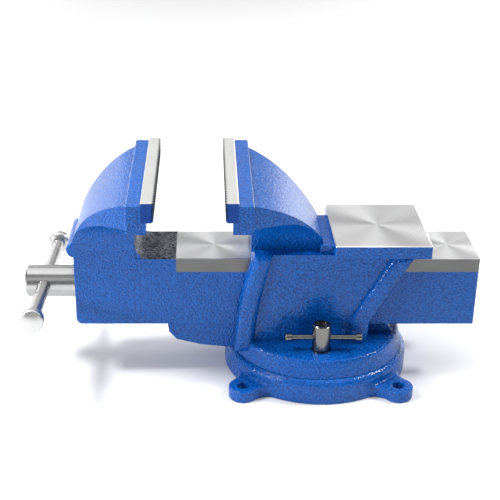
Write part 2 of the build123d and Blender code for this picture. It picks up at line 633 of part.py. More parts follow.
for side_name, side in (("near", -1), ("far", 1)):
    write("lock_stud_" + side_name, lock_stud(side))
    write("lock_washer_" + side_name, lock_washer(side))
    write("lock_nut_" + side_name, lock_nut(side))
    bar_end = LOCK_BAR_HALF - LOCK_CAP_LONG
    bar = rod_x(LOCK_BAR_R, LOCK_BAR_SHIFT - bar_end, LOCK_BAR_SHIFT + bar_end, side * SLOT_R, LOCK_BAR_Z)
    write("lock_bar_" + side_name, bar)
    write("lock_cap_" + side_name + "_front", lock_cap(side, -1))
    write("lock_cap_" + side_name + "_rear", lock_cap(side, 1))
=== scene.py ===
# %% [markdown]
# A bench vise is three castings (base, body, moving jaw) and about thirty smaller steel pieces.
# The imported model already has every piece in its place, so the first step loads it as the frame.

# %% Load the frame
import json
import math

import bmesh
import bpy
import numpy as np
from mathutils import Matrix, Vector

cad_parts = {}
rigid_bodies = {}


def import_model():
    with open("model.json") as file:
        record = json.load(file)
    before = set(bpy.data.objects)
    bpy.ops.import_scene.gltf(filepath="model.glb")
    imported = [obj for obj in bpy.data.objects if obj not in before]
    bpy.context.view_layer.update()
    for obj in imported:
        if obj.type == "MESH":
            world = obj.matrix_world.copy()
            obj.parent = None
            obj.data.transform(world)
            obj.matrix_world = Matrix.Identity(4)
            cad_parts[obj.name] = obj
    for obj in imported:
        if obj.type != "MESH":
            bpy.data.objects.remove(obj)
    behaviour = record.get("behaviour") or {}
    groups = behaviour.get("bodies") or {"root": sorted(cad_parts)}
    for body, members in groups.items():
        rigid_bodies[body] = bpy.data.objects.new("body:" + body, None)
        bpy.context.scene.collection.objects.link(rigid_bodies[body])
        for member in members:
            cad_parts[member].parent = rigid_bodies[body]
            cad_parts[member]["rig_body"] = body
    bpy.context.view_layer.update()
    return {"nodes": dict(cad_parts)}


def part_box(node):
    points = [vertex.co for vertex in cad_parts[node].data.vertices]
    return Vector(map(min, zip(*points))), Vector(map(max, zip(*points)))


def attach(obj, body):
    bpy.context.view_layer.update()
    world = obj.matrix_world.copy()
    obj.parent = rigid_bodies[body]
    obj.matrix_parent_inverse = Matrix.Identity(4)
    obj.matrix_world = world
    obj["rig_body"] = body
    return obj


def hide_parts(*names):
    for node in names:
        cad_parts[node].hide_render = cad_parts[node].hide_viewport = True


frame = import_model()
MM = 0.001
nodes = frame["nodes"]

# %% [markdown]
# Materials are graphs of small nodes. Writing each link by hand hides what the finish is, so a
# short helper adds a node and wires its inputs at once: a number is set, a socket is linked.

# %% A helper that adds shader nodes


class Graph:
    """Node tree of one material, with its Principled shader and its Object coordinates."""

    def __init__(self, name):
        self.material = bpy.data.materials.new(name)
        self.material.use_nodes = True
        self.tree = self.material.node_tree
        self.shader = self.tree.nodes["Principled BSDF"]
        self.place = self.add("ShaderNodeTexCoord").outputs["Object"]

    def add(self, kind, settings=None, **inputs):
        """Adds a node. Settings are its properties, inputs are its sockets by name or number."""
        node = self.tree.nodes.new(kind)
        for key, value in (settings or {}).items():
            setattr(node, key, value)
        for key, value in inputs.items():
            self.wire(node.inputs[int(key[1:]) if key[0] == "i" and key[1:].isdigit() else key], value)
        return node

    def wire(self, socket, value):
        """Links a socket to a socket, or sets its value."""
        if isinstance(value, bpy.types.NodeSocket):
            self.tree.links.new(value, socket)
        else:
            socket.default_value = value

    def math(self, operation, a, b=0.0):
        """One arithmetic step."""
        return self.add("ShaderNodeMath", {"operation": operation}, i0=a, i1=b).outputs[0]

    def vector(self, operation, a, b=(0, 0, 0)):
        """One step on vectors."""
        return self.add("ShaderNodeVectorMath", {"operation": operation}, i0=a, i1=b).outputs[0]

    def ramp(self, value, low, high, to_low, to_high):
        """Carries a value from one range to another and holds it there."""
        node = self.add("ShaderNodeMapRange", None, i0=value, i1=low, i2=high, i3=to_low, i4=to_high)
        return node.outputs[0]

    def tint(self, amount, first, second):
        """Colour between two colours."""
        node = self.add("ShaderNodeMix", {"data_type": "RGBA"})
        self.wire(node.inputs[0], amount)
        self.wire(node.inputs[6], (*first, 1))
        self.wire(node.inputs[7], (*second, 1))
        return node.outputs[2]

    def noise(self, scale, detail=2.0, place=None):
        """Soft cloudy pattern; scale is patches per metre."""
        kind = "ShaderNodeTexNoise"
        node = self.add(kind, None, Vector=place or self.place, Scale=scale, Detail=detail)
        return node.outputs["Fac"]

    def bump(self, height, distance, strength=1.0, normal=None):
        """Turns a height into a tilt of the surface; distance is the height of 1, in metres."""
        node = self.add("ShaderNodeBump", None, Height=height, Distance=distance, Strength=strength)
        if normal is not None:
            self.wire(node.inputs["Normal"], normal)
        return node.outputs[0]

    def finish(self, **values):
        """Sets the shader's own sockets; underscores stand for spaces."""
        for key, value in values.items():
            self.wire(self.shader.inputs[key.replace("_", " ")], value)
        return self.material


print("shader helper ready")

# %% [markdown]
# The castings wear hammered enamel: a thick gloss paint that pulls itself into small round beads
# as it dries. A flat colour would look dull, because what the eye reads is how every bead catches
# the light. So the paint is made in two layers. The blue below hardly mirrors anything, and has
# rounded cells about 1.5 mm across, a finer grain, and the slow swell of the sand mould. The clear
# coat on top has shallower beads of its own, so it gives small sharp glints and leaves the blue's
# shading alone.

# %% Hammered enamel

BEADS_PER_METRE = 640.0
GRAINS_PER_METRE = 420.0
SWELLS_PER_METRE = 38.0
PATCHES_PER_METRE = 14.0
SWELL_HEIGHT = 1.2 * MM
BEAD_HEIGHT = 0.75 * MM
GRAIN_HEIGHT = 0.5 * MM
COAT_BEAD_HEIGHT = 0.18 * MM
GAP_SHADE_BLUE = (0.0003, 0.040, 0.225)
BEAD_BLUE = (0.002, 0.155, 0.62)


def hammered_enamel():
    """Blue layer: height = swell + rounded cells + grain. Colour = painted shade, darker in the gaps
    between the cells and lighter on the bead tops, mixed with slow patches of random tone.
    Clear coat: height = grain + shallower cells."""
    g = Graph("hammered_enamel")
    kind = "ShaderNodeTexVoronoi"
    cells = g.add(kind, {"feature": "SMOOTH_F1"}, Vector=g.place, Scale=BEADS_PER_METRE, Smoothness=0.3)
    bead = g.ramp(cells.outputs["Distance"], 0.1, 0.75, 1.0, 0.0)
    grain = g.noise(GRAINS_PER_METRE, 3.0)
    swell = g.noise(SWELLS_PER_METRE, 2.0)
    patch = g.noise(PATCHES_PER_METRE, 4.0)
    shape = g.bump(swell, SWELL_HEIGHT, 0.5)
    shape = g.bump(bead, BEAD_HEIGHT, 1.0, shape)
    shape = g.bump(grain, GRAIN_HEIGHT, 0.5, shape)
    gloss = g.bump(bead, COAT_BEAD_HEIGHT, 1.0, g.bump(grain, GRAIN_HEIGHT, 0.5))
    # Painted shade: the colour is darkest where the bead height is lowest, in the gaps between the beads;
    # the slow patches are random tone.
    mixed = g.math("ADD", g.math("MULTIPLY", bead, 0.7), g.math("MULTIPLY", patch, 0.3))
    return g.finish(
        Base_Color=g.tint(mixed, GAP_SHADE_BLUE, BEAD_BLUE),
        Roughness=g.ramp(grain, 0.3, 0.7, 0.2, 0.36),
        Normal=shape,
        Specular_IOR_Level=0.05,
        Coat_Weight=0.55,
        Coat_Roughness=0.08,
        Coat_Normal=gloss,
    )


def plate_end_enamel():
    """The blue brushed over the plate ends, smoother and darker: one fine grain drives its colour,
    its roughness and its bump."""
    g = Graph("plate_end_enamel")
    grain = g.noise(700.0, 3.0)
    return g.finish(
        Base_Color=g.tint(grain, (0.0005, 0.026, 0.19), (0.002, 0.062, 0.31)),
        Roughness=g.ramp(grain, 0.3, 0.7, 0.3, 0.45),
        Specular_IOR_Level=0.2,
        Normal=g.bump(grain, 0.1 * MM, 0.4),
    )


enamel = hammered_enamel()
end_enamel = plate_end_enamel()
print("enamels", enamel.name, end_enamel.name)

# %% [markdown]
# The anvil and the slide are faced on a machine that sweeps a tool in circles, which leaves fine
# arcs about one centre. Light lies across such arcs as bright and dark wedges. The shader's
# anisotropy makes the wedges if its tangent runs round the centre, and bright and dark wedges are
# also painted into the colour, worked out from the angle about that centre: a painted reflection.

# %% Turned steel

ARCS_PER_METRE = 1600.0


def turned_steel(name, centre):
    """Tangent = up x (place - centre). Marks = noise on (radius, angle), so they run in arcs. Painted
    reflection wedges in the colour = cos(3 x angle) + cos(5 x angle), each shifted so they don't line up."""
    g = Graph(name)
    arm = g.vector("SUBTRACT", g.place, centre)
    around = g.vector("NORMALIZE", g.vector("CROSS_PRODUCT", (0, 0, 1), arm))
    parts = g.add("ShaderNodeSeparateXYZ", None, Vector=arm)
    angle = g.math("ARCTAN2", parts.outputs["Y"], parts.outputs["X"])
    flat = g.add("ShaderNodeCombineXYZ", None, X=parts.outputs["X"], Y=parts.outputs["Y"])
    radius = g.add("ShaderNodeVectorMath", {"operation": "LENGTH"}, i0=flat.outputs[0]).outputs["Value"]
    ring_place = g.add("ShaderNodeCombineXYZ", None, X=g.math("MULTIPLY", radius, ARCS_PER_METRE), Y=angle)
    rings = g.noise(1.0, 3.0, ring_place.outputs[0])
    # Painted reflection: bright and dark wedges put into the colour by the angle about the centre, standing
    # in for glare; the rings are real marks.
    painted_wedge = g.math("COSINE", g.math("ADD", g.math("MULTIPLY", angle, 3.0), 0.7))
    painted_wedge = g.math("ADD", painted_wedge, g.math("COSINE", g.math("ADD", g.math("MULTIPLY", angle, 5.0), 2.1)))
    painted_reflection = g.ramp(painted_wedge, -1.7, 1.7, 0.0, 1.0)
    shade = g.math("ADD", g.math("MULTIPLY", painted_reflection, 0.8), g.math("MULTIPLY", rings, 0.2))
    return g.finish(
        Base_Color=g.tint(shade, (0.44, 0.44, 0.45), (0.86, 0.86, 0.86)),
        Metallic=1.0,
        Roughness=g.ramp(rings, 0.3, 0.7, 0.26, 0.38),
        Anisotropic=0.55,
        Tangent=around,
        Normal=g.bump(rings, 0.02 * MM, 0.3),
    )


print("turned steel ready, arcs per metre", ARCS_PER_METRE)

# %% [markdown]
# Rods, plates and plated nuts carry marks too, but straight ones, left by grinding and polishing.
# They could be drawn as lines, but real strokes start and stop, and noise that is stretched along
# one direction does so by itself. The jaw's root was never machined, so it keeps the dark scale of
# the mould, which is coarse noise with no direction.

# %% Stroked steel and cast skin


def stroked_steel(name, dark, light, stretch, rough):
    """Marks = noise drawn out along one direction, mixed with slow clouds; stretch is patches per
    metre in X, Y and Z, so the small number is the direction of the strokes."""
    g = Graph(name)
    drawn = g.add("ShaderNodeMapping", None, Vector=g.place, Scale=stretch).outputs[0]
    marks = g.noise(1.0, 4.0, drawn)
    cloud = g.noise(60.0, 3.0)
    mixed = g.math("ADD", g.math("MULTIPLY", marks, 0.65), g.math("MULTIPLY", cloud, 0.35))
    return g.finish(
        Base_Color=g.tint(mixed, dark, light),
        Metallic=1.0,
        Roughness=g.ramp(marks, 0.3, 0.7, rough - 0.06, rough + 0.08),
        Normal=g.bump(marks, 0.02 * MM, 0.35),
    )


def cast_iron_skin():
    """Unmachined iron: dark scale with brighter rubbed grains, both from one coarse noise."""
    g = Graph("bare_cast_skin")
    grains = g.ramp(g.noise(480.0, 5.0), 0.36, 0.66, 0.0, 1.0)
    cloud = g.ramp(g.noise(90.0, 2.0), 0.3, 0.7, 0.0, 1.0)
    shade = g.math("MULTIPLY", grains, g.math("ADD", g.math("MULTIPLY", cloud, 0.7), 0.3))
    return g.finish(
        Base_Color=g.tint(shade, (0.012, 0.014, 0.02), (0.30, 0.32, 0.37)),
        Metallic=0.85,
        Roughness=g.ramp(grains, 0.0, 1.0, 0.55, 0.32),
        Normal=g.bump(grains, 0.35 * MM, 0.8),
    )


print("stroked steel and cast skin ready")

# %% [markdown]
# Each finish is made once and shared by every piece that wears it, as one bath plates many nuts.
# Lead screw, handle and caps are all polished, but their strokes run along different ways, so they
# are separate finishes.

# %% The finishes


def at(x, y, z):
    """A point in millimetres, in the scene's metres."""
    return (x * MM, y * MM, z * MM)


def grey(level):
    """A colour with no tint."""
    return (level, level, level)


ANVIL_TOP = 125.0
ANVIL_X = 47.0
ANVIL_HALF_LONG = 39.0
SLIDE_TOP = 107.05
SLIDE_MARKS_X = -86.0
TAIL_MARKS_X = 106.0
turned_anvil = turned_steel("turned_anvil", at(ANVIL_X, 0, ANVIL_TOP))
turned_slide = turned_steel("turned_slide", at(SLIDE_MARKS_X, 0, SLIDE_TOP))
turned_tail = turned_steel("turned_tail", at(TAIL_MARKS_X, 0, SLIDE_TOP))
# Painted shade: the slide's ground side band is the same bare iron as its top, given a much darker colour
# to stand for the dimmer light on the side.
shaded_slide_side = stroked_steel("slide_side_steel", grey(0.10), grey(0.185), (30, 900, 900), 0.36)
cast_skin = cast_iron_skin()
plate_steel = stroked_steel(
    "ground_plate_steel", (0.70, 0.70, 0.69), (0.93, 0.93, 0.92), (900, 40, 900), 0.36
)
tooth_steel = stroked_steel("tooth_steel", (0.008, 0.008, 0.009), (0.05, 0.05, 0.052), (700, 700, 700), 0.5)
polished = stroked_steel("polished_steel", grey(0.34), grey(0.54), (12, 700, 700), 0.25)
polished_bar = stroked_steel("polished_bar", grey(0.30), grey(0.58), (700, 12, 700), 0.25)
cap_steel = stroked_steel("polished_cap", grey(0.50), grey(0.64), (260, 260, 260), 0.3)
nickel = stroked_steel("nickel_plate", (0.10, 0.10, 0.097), (0.27, 0.267, 0.257), (700, 700, 40), 0.22)
black_oxide = stroked_steel("black_oxide", (0.03, 0.03, 0.032), (0.09, 0.09, 0.095), (600, 600, 600), 0.4)
spring_wire = stroked_steel("spring_wire", (0.16, 0.15, 0.14), (0.32, 0.31, 0.30), (400, 400, 400), 0.3)
raw_iron = stroked_steel("raw_iron", (0.05, 0.05, 0.052), (0.14, 0.14, 0.145), (350, 350, 350), 0.6)
print("materials", len(bpy.data.materials))

# %% [markdown]
# A cast or ground edge is never knife sharp, and the thin bright line along it is what makes a
# solid look real. The CAD meshes are left alone, so each casting gets a copy. The body and the jaw
# have machined faces that must stay flat: their triangles are merged back into whole faces, scored
# where the paint stops, and a Bevel modifier breaks every sharp edge. The base is rough cast all
# over and its lugs flow into its ring, which a bevel can't do, so it is laid on an even grid of
# points and smoothed.

# %% Copies of the castings with broken edges

MERGE_DISTANCE = 0.002 * MM
SLIVER_LENGTH = 0.06 * MM
FLAT_ANGLE = math.radians(0.5)
BREAK_ANGLE = math.radians(35)


def merged_copy(node, finishes):
    """Copy of a node's mesh with its finishes, and a bmesh of it with its loose triangles merged."""
    mesh = nodes[node].data.copy()
    mesh.materials.clear()
    for finish in finishes:
        mesh.materials.append(finish)
    shape = bmesh.new()
    shape.from_mesh(mesh)
    bmesh.ops.remove_doubles(shape, verts=shape.verts, dist=MERGE_DISTANCE)
    return mesh, shape


def write_back(shape, mesh, sharp_angle):
    """Puts a bmesh back in its mesh, drops the normals that came with the old triangles, and marks
    every edge sharper than the angle."""
    shape.to_mesh(mesh)
    shape.free()
    if "custom_normal" in mesh.attributes:
        mesh.attributes.remove(mesh.attributes["custom_normal"])
    mesh.set_sharp_from_angle(angle=sharp_angle)


def rounded_copy(node, name, cuts, rule, finishes, edge):
    """Copy of a node. cuts are planes (point, normal); rule gives a finish number for each face
    from its centre in millimetres and its normal; edge is the bevel's width."""
    mesh, shape = merged_copy(node, finishes)
    for point, normal in cuts:
        everything = shape.verts[:] + shape.edges[:] + shape.faces[:]
        bmesh.ops.bisect_plane(shape, geom=everything, plane_co=at(*point), plane_no=normal, dist=1e-7)
    for face in shape.faces:
        face.material_index = rule(face.calc_center_median() / MM, face.normal)
        face.smooth = True
    bmesh.ops.dissolve_limit(
        shape, angle_limit=FLAT_ANGLE, verts=shape.verts, edges=shape.edges, delimit={"MATERIAL"}
    )
    bmesh.ops.dissolve_degenerate(shape, dist=SLIVER_LENGTH, edges=shape.edges)
    write_back(shape, mesh, BREAK_ANGLE)
    piece = bpy.data.objects.new(name, mesh)
    bpy.context.scene.collection.objects.link(piece)
    bevel = piece.modifiers.new("broken_edge", "BEVEL")
    bevel.width = edge * MM
    bevel.segments = 3
    bevel.limit_method = "ANGLE"
    bevel.angle_limit = BREAK_ANGLE
    bevel.harden_normals = True
    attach(piece, nodes[node]["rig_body"])
    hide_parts(node)
    return piece


def worn_copy(node, name, grid, passes, finish):
    """Copy of a node on an even grid of points, then smoothed, so each edge is as soft as sand
    leaves it and each inner corner gets a cove. Kept inside the node's own box."""
    low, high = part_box(node)
    mesh = nodes[node].data.copy()
    mesh.materials.clear()
    mesh.materials.append(finish)
    piece = bpy.data.objects.new(name, mesh)
    bpy.context.scene.collection.objects.link(piece)
    even = piece.modifiers.new("even_grid", "REMESH")
    even.mode = "VOXEL"
    even.voxel_size = grid * MM
    worn = piece.modifiers.new("worn", "SMOOTH")
    worn.factor = 0.5
    worn.iterations = passes
    solved = piece.evaluated_get(bpy.context.evaluated_depsgraph_get())
    result = bpy.data.meshes.new_from_object(solved)
    piece.modifiers.clear()
    points = np.empty(len(result.vertices) * 3)
    result.vertices.foreach_get("co", points)
    points = np.clip(points.reshape(-1, 3), np.array(low), np.array(high))
    result.vertices.foreach_set("co", points.ravel())
    result.polygons.foreach_set("use_smooth", np.ones(len(result.polygons), bool))
    result.update()
    piece.data = result
    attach(piece, nodes[node]["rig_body"])
    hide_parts(node)
    return piece


print("casting helpers ready")

# %% [markdown]
# Paint does not cover the castings everywhere. The anvil's face and the slide's top and upper sides
# are machined after painting, and the jaw's root is left as cast. A painted mask could show that,
# but a rule on each face's centre and direction ends the paint as crisply as the cutter did.

# %% Where the paint stops

ENAMEL = 0
ANVIL_FACE = 1


def one_finish(centre, normal):
    """For a piece with a single finish."""
    return 0


def body_rule(centre, normal):
    """Bare on the anvil's face and its chamfer, enamel elsewhere."""
    on_anvil = centre.z > ANVIL_TOP - 0.9 and abs(centre.x - ANVIL_X) < ANVIL_HALF_LONG
    return ANVIL_FACE if on_anvil else ENAMEL


SLIDE_FACE = 1
TAIL_FACE = 2
SIDE_BAND = 3
CAST_SKIN = 4
BARE_FROM_X = -117.5
TAIL_FROM_X = 20.0
BAND_FROM_Z = 95.0
SLIDE_HALF_WIDE = 26.5
SLIDE_END_X = 127.0
SKIN_FROM_X = -141.0
SKIN_CORNER = (-143.0, 19.3)
SKIN_ROUND = 8.0
ROOT_X = (-151.1, -139.9)
ROOT_Z = (106.0, 118.2)
ROOT_HALF_WIDE = 26.7


def beyond_corner(centre):
    """True outside the rounded corner where the paint ends on the bare cast skin."""
    off_x, off_y = SKIN_CORNER[0] - centre.x, abs(centre.y) - SKIN_CORNER[1]
    return off_x > 0 and off_y > 0 and math.hypot(off_x, off_y) > SKIN_ROUND


def corner_lines():
    """Short straight cuts that follow the rounded corner on both sides."""
    lines = []
    for angle in (15, 33, 51, 69):
        x, y = math.cos(math.radians(angle)), math.sin(math.radians(angle))
        for side in (-1, 1):
            point = (SKIN_CORNER[0] - SKIN_ROUND * x, side * (SKIN_CORNER[1] + SKIN_ROUND * y), 0)
            lines.append((point, (-x, side * y, 0)))
    return lines


def jaw_rule(centre, normal):
    """Cast skin at the jaw's root, turned tops and a ground band on the slide, enamel elsewhere."""
    in_root = ROOT_X[0] < centre.x < ROOT_X[1] and ROOT_Z[0] < centre.z < ROOT_Z[1]
    if in_root and abs(centre.y) < ROOT_HALF_WIDE and not beyond_corner(centre):
        return CAST_SKIN
    on_slide = centre.z < SLIDE_TOP + 0.1
    if on_slide and normal.z > 0.6 and centre.z > SLIDE_TOP - 1.0:
        if centre.x > TAIL_FROM_X:
            return TAIL_FACE
        if centre.x > BARE_FROM_X:
            return SLIDE_FACE
        return CAST_SKIN if centre.x > SKIN_FROM_X and not beyond_corner(centre) else ENAMEL
    outside = abs(centre.y) > SLIDE_HALF_WIDE or centre.x > SLIDE_END_X
    if on_slide and outside and centre.x > BARE_FROM_X and centre.z > BAND_FROM_Z:
        return SIDE_BAND
    return ENAMEL


print("slide is bare from x", BARE_FROM_X, "and above z", BAND_FROM_Z)

# %% [markdown]
# With helpers and rules in place, each casting is one call. The jaw is scored along its paint lines
# first, so that no face lies across one.

# %% The three castings

base = worn_copy("swivel_base", "base_casting", 0.9, 5, enamel)
body = rounded_copy("fixed_jaw_body", "body_casting", [], body_rule, [enamel, turned_anvil], 0.9)
paint_lines = [
    ((BARE_FROM_X, 0, 0), (1, 0, 0)),
    ((TAIL_FROM_X, 0, 0), (1, 0, 0)),
    ((0, 0, BAND_FROM_Z), (0, 0, 1)),
    *corner_lines(),
]
jaw_finishes = [enamel, turned_slide, turned_tail, shaded_slide_side, cast_skin]
jaw = rounded_copy("moving_jaw_slide", "jaw_casting", paint_lines, jaw_rule, jaw_finishes, 0.6)
print("castings", [(p.name, len(p.data.polygons)) for p in (base, body, jaw)])

# %% [markdown]
# New pieces are grids of points worked out at once with numpy. One helper turns such a grid into
# a closed mesh: rows run along the piece and columns run round it, and each end is closed by a
# fan to its middle.

# %% Closed skin over a grid of points

SEAM_DISTANCE = 0.0005 * MM
CREASE_ANGLE = math.radians(32)


def skin(name, rings, finish, body, ends=True):
    """rings has shape (rows, columns, 3) in millimetres; columns close on themselves."""
    rows, columns, _ = rings.shape
    points = rings.reshape(-1, 3)
    index = np.arange(rows * columns).reshape(rows, columns)
    after = np.roll(index, -1, axis=1)
    quads = np.stack([index[:-1], after[:-1], after[1:], index[1:]], axis=-1).reshape(-1, 4)
    faces = quads.tolist()
    if ends:
        middles = np.stack([rings[0].mean(axis=0), rings[-1].mean(axis=0)])
        points = np.vstack([points, middles])
        first, last = rows * columns, rows * columns + 1
        faces += np.stack([after[0], index[0], np.full(columns, first)], axis=-1).tolist()
        faces += np.stack([index[-1], after[-1], np.full(columns, last)], axis=-1).tolist()
    mesh = bpy.data.meshes.new(name)
    mesh.from_pydata((points * MM).tolist(), [], faces)
    shape = bmesh.new()
    shape.from_mesh(mesh)
    bmesh.ops.remove_doubles(shape, verts=shape.verts, dist=SEAM_DISTANCE)
    bmesh.ops.recalc_face_normals(shape, faces=shape.faces)
    shape.to_mesh(mesh)
    shape.free()
    mesh.materials.append(finish)
    mesh.polygons.foreach_set("use_smooth", np.ones(len(mesh.polygons), bool))
    mesh.set_sharp_from_angle(angle=CREASE_ANGLE)
    piece = bpy.data.objects.new(name, mesh)
    bpy.context.scene.collection.objects.link(piece)
    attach(piece, body)
    return piece


def turned(name, along, radius, start, direction, finish, body, sides=64):
    """Surface of revolution. along and radius are the profile; start and direction set its axis."""
    axis = np.array(Vector(direction).normalized())
    helper = np.array([1.0, 0, 0]) if abs(axis[0]) < 0.9 else np.array([0, 0, 1.0])
    across = np.cross(axis, helper)
    across /= np.linalg.norm(across)
    third = np.cross(axis, across)
    turn = np.linspace(0, 2 * np.pi, sides, endpoint=False)
    circle = np.cos(turn)[:, None] * across + np.sin(turn)[:, None] * third
    along, radius = np.asarray(along, float), np.asarray(radius, float)
    rings = np.array(start) + along[:, None, None] * axis + radius[:, None, None] * circle
    return skin(name, rings, finish, body)


print("skin and turned ready")

# %% [markdown]
# The jaw plates grip with pyramids cut by two sets of crossing V grooves. A bump would leave the
# top edge straight, and that saw-toothed edge is the plate's most telling line, so the teeth are
# real: the gripping face is a height that is the lesser of two triangle waves along the diagonals.

# %% Jaw plates with real teeth

TOOTH_PITCH = 5.0
TOOTH_DEPTH = 2.0
SCREW_Y = 45.0
SCREW_MOUTH = 5.2
POCKET_DEPTH = 4.6
MOUTH_REACH = 0.27
BACK_CHAMFER = 0.5
POINTS_LONG = 301
POINTS_HIGH = 33


def triangle_wave(value):
    """0 at whole numbers, 1 half way between them, straight in between."""
    return 1 - np.abs(2 * (value - np.floor(value)) - 1)


def toothed_plate(node, name, grip_x, away, body):
    """Depth below the grip = tooth depth x (1 - lesser of the two diagonal waves). Points close to
    the rim of a screw's hole are drawn onto the rim, and those inside it drop to the screw."""
    low, high = (np.array(corner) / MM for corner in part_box(node))
    mid_z = (low[2] + high[2]) / 2
    y = np.linspace(low[1], high[1], POINTS_LONG)
    z = np.linspace(low[2], high[2], POINTS_HIGH)
    grid_y, grid_z = np.meshgrid(y, z, indexing="ij")
    for centre in (-SCREW_Y, SCREW_Y):
        off_y, off_z = grid_y - centre, grid_z - mid_z
        reach = np.hypot(off_y, off_z)
        near = (np.abs(reach - SCREW_MOUTH) < MOUTH_REACH) & (reach > 0)
        pull = np.where(near, SCREW_MOUTH / np.maximum(reach, 0.01), 1.0)
        grid_y, grid_z = centre + off_y * pull, mid_z + off_z * pull
    rise = (grid_y + grid_z - high[2]) / TOOTH_PITCH
    fall = (grid_y - grid_z + high[2]) / TOOTH_PITCH
    depth = TOOTH_DEPTH * (1 - np.minimum(triangle_wave(rise), triangle_wave(fall)))
    for centre in (-SCREW_Y, SCREW_Y):
        reach = np.hypot(grid_y - centre, grid_z - mid_z)
        depth = np.where(reach < SCREW_MOUTH - 0.02, POCKET_DEPTH, depth)
    front = np.stack([grip_x + away * depth, grid_y, grid_z], axis=-1)
    back_x = low[0] if away < 0 else high[0]
    inner_x = back_x - away * BACK_CHAMFER
    corners = [
        (inner_x, high[2]),
        (back_x, high[2] - BACK_CHAMFER),
        (back_x, low[2] + BACK_CHAMFER),
        (inner_x, low[2]),
    ]
    back = np.stack([np.stack([np.full_like(y, x), y, np.full_like(y, h)], axis=-1) for x, h in corners], 1)
    plate = skin(name, np.concatenate([front, back], axis=1), plate_steel, body)
    plate.data.materials.append(tooth_steel)
    plate.data.materials.append(end_enamel)
    count = len(plate.data.polygons)
    normals, centres = np.empty(count * 3), np.empty(count * 3)
    plate.data.polygons.foreach_get("normal", normals)
    plate.data.polygons.foreach_get("center", centres)
    normals, centres = normals.reshape(-1, 3), centres.reshape(-1, 3) / MM
    finish = np.zeros(count, int)
    finish[away * (centres[:, 0] - grip_x) < POCKET_DEPTH + 0.1] = 1
    finish[np.abs(normals[:, 2]) > 0.9] = 0
    finish[np.abs(normals[:, 1]) > 0.9] = 2
    plate.data.polygons.foreach_set("material_index", finish)
    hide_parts(node)
    return plate


moving_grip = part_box("moving_jaw_plate")[1].x / MM
fixed_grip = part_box("fixed_jaw_plate")[0].x / MM
toothed_plate("moving_jaw_plate", "moving_plate_teeth", moving_grip, -1, "moving_jaw")
toothed_plate("fixed_jaw_plate", "fixed_plate_teeth", fixed_grip, 1, "fixed_body")
print("jaw opening, mm", round(fixed_grip - moving_grip, 2))

# %% [markdown]
# The lead screw is one bar: a polished head with the handle's cross hole, and a square-shouldered
# thread behind it. The head stays a copy of the CAD mesh, cut off behind the jaw wall, because
# its hole is exact there. The thread is a grid whose radius depends on how far round and how far
# along a point is, which is what a thread is.

# %% Lead screw

SCREW_Z = 73.5
THREAD_START = -188.0
THREAD_END = 34.9
THREAD_PITCH = 6.0
THREAD_CREST = 9.95
THREAD_ROOT = 7.6
RUN_OUT = 2.5
STEPS_PER_TURN = 14
POINTS_ROUND = 56


def screw_head():
    """Head and journal, from the CAD node, ended inside the jaw's wall and capped."""
    mesh, shape = merged_copy("lead_screw", [polished])
    everything = shape.verts[:] + shape.edges[:] + shape.faces[:]
    cut = bmesh.ops.bisect_plane(
        shape, geom=everything, plane_co=at(THREAD_START - 0.5, 0, 0), plane_no=(1, 0, 0), clear_outer=True
    )
    rim = [item for item in cut["geom_cut"] if isinstance(item, bmesh.types.BMEdge)]
    bmesh.ops.holes_fill(shape, edges=rim)
    for face in shape.faces:
        face.smooth = True
    write_back(shape, mesh, math.radians(30))
    piece = bpy.data.objects.new("screw_head", mesh)
    bpy.context.scene.collection.objects.link(piece)
    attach(piece, "screw")
    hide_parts("lead_screw")
    return piece


def threaded_bar(name, start, end, root, crest, pitch, body, finish):
    """Radius = root + height x trapezoid of (distance / pitch - turn), right-handed along +X. The
    height fades to nothing over the run-out at each end."""
    along = np.arange(start, end, pitch / STEPS_PER_TURN)
    turn = np.linspace(0, 2 * np.pi, POINTS_ROUND, endpoint=False)
    phase = along[:, None] / pitch - turn[None, :] / (2 * np.pi)
    crest_shape = np.clip(triangle_wave(phase) * 2.6 - 0.8, 0, 1)
    fade = np.clip(np.minimum(along - start, end - along) / RUN_OUT, 0, 1)[:, None]
    radius = root + (crest - root) * crest_shape * fade
    x = np.broadcast_to(along[:, None], radius.shape)
    rings = np.stack([x, radius * np.cos(turn), SCREW_Z + radius * np.sin(turn)], axis=-1)
    return skin(name, rings, finish, body)


head = screw_head()
thread = threaded_bar(
    "screw_thread", THREAD_START, THREAD_END, THREAD_ROOT, THREAD_CREST, THREAD_PITCH, "screw", polished,
)
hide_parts("lead_screw")
print("screw faces", len(head.data.polygons), "thread faces", len(thread.data.polygons))

# %% [markdown]
# The handle is a plain bar with a turned cap on each end, so both are surfaces of revolution on
# the bar's own axis. The caps have a low crown and a rolled rim, which carry the highlights.

# %% Handle

HANDLE_LEAN = math.radians(4.0)
handle_axis = (0, math.cos(HANDLE_LEAN), -math.sin(HANDLE_LEAN))
handle_seat = (-228.0, 0, SCREW_Z)
HANDLE_NEAR = -84.5
HANDLE_FAR = 99.0
CAP_LONG = 9.5
CAP_R = 9.5
ROLL = 1.9
CROWN = 1.0
HANDLE_BAR_R = 5.4
BAR_OVERLAP = 1.0
POLE_R = 0.05


def crowned_profile(length, radius, roll, crown):
    """Rim rounded at both edges, and an outer face that rises towards its middle."""
    corner = np.linspace(0, np.pi / 2, 9)
    inner = (roll * (1 - np.cos(corner)), radius - roll + roll * np.sin(corner))
    outer = (length - crown - roll + roll * np.sin(corner), radius - roll + roll * np.cos(corner))
    dome_r = np.linspace(radius - roll, POLE_R, 10)[1:]
    dome = (length - crown * (dome_r / (radius - roll)) ** 2, dome_r)
    along = np.concatenate([[0], inner[0], outer[0], dome[0]])
    return along, np.concatenate([[POLE_R], inner[1], outer[1], dome[1]])


